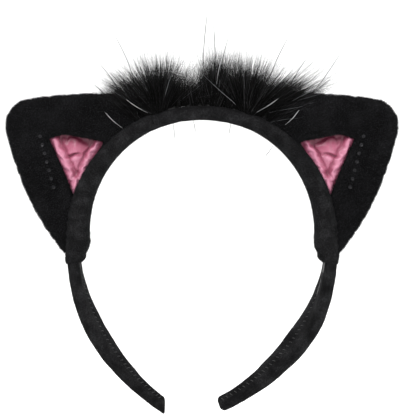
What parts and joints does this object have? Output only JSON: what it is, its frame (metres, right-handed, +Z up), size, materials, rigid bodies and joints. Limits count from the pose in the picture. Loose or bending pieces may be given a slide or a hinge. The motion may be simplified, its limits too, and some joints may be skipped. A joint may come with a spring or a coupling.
{
  "type": "animal ears headband",
  "caption": "Velvet-covered headband with two bendable plush cat ears, pink satin insets and a fur strip across the top.",
  "frame": {"origin": "middle of the round inside face that sits on the head", "axes": "+X to the wearer's left, +Y to the back of the head, +Z up; the ears' satin faces -Y"},
  "size_m": [0.195, 0.0238, 0.1888],
  "materials": {
    "black_velvet": "short-pile velvet with a soft sheen",
    "black_plush": "short plush with a broken, fuzzy edge",
    "pink_satin": "glossy satin, creased",
    "black_fur": "fine loose down with long strands",
    "black_tape": "ribbed cotton tape",
    "black_thread": "twisted polyester thread",
    "black_felt": "felt",
    "stuffing": "polyester fibre",
    "foam": "soft foam strip",
    "strip_plastic": "moulded, matt",
    "ear_wire": "soft annealed wire",
    "black_sequins": "glossy"
  },
  "bodies": {
    "crown": {"crown_core": "strip_plastic", "crown_foam": "foam", "crown_velvet": "black_velvet", "crown_fur_tape": "black_tape", "crown_tape_stitches": "black_thread", "crown_fur": "black_fur"},
    "left_side": {"left_core": "strip_plastic", "left_foam": "foam", "left_velvet": "black_velvet", "left_tip_tab": "black_velvet", "left_fur_tape": "black_tape", "left_tape_stitches": "black_thread", "left_fur": "black_fur", "left_ear_sleeve": "black_velvet", "left_sleeve_cuff": "black_velvet", "left_ear_base": "black_plush", "left_wire_ties": "black_thread", "left_sleeve_stitches": "black_thread"},
    "right_side": {"right_core": "strip_plastic", "right_foam": "foam", "right_velvet": "black_velvet", "right_tip_tab": "black_velvet", "right_fur_tape": "black_tape", "right_tape_stitches": "black_thread", "right_fur": "black_fur", "right_ear_sleeve": "black_velvet", "right_sleeve_cuff": "black_velvet", "right_ear_base": "black_plush", "right_wire_ties": "black_thread", "right_sleeve_stitches": "black_thread"},
    "left_ear": {"left_ear_front": "black_plush", "left_ear_back": "black_plush", "left_ear_stuffing": "stuffing", "left_ear_wire": "ear_wire", "left_satin": "pink_satin", "left_satin_backing": "black_felt", "left_sequins": "black_sequins"},
    "right_ear": {"right_ear_front": "black_plush", "right_ear_back": "black_plush", "right_ear_stuffing": "stuffing", "right_ear_wire": "ear_wire", "right_satin": "pink_satin", "right_satin_backing": "black_felt", "right_sequins": "black_sequins"}
  },
  "joints": [
    {"name": "left_flex", "type": "hinge", "parent": "crown", "child": "left_side", "pos_m": [-0.00884, 0, 0.05898], "axis": [0, 1, 0], "range_deg": [-3, 18], "stiffness_Nm_per_rad": 1},
    {"name": "right_flex", "type": "hinge", "parent": "crown", "child": "right_side", "pos_m": [0.00884, 0, 0.05898], "axis": [0, -1, 0], "range_deg": [-3, 18], "stiffness_Nm_per_rad": 1},
    {"name": "left_ear_bend", "type": "hinge", "parent": "left_side", "child": "left_ear", "pos_m": [-0.06163, 0, 0.02484], "axis": [0.4226, 0, 0.9063], "range_deg": [-25, 25]},
    {"name": "right_ear_bend", "type": "hinge", "parent": "right_side", "child": "right_ear", "pos_m": [0.06163, 0, 0.02484], "axis": [0.4226, 0, -0.9063], "range_deg": [-25, 25]}
  ]
}
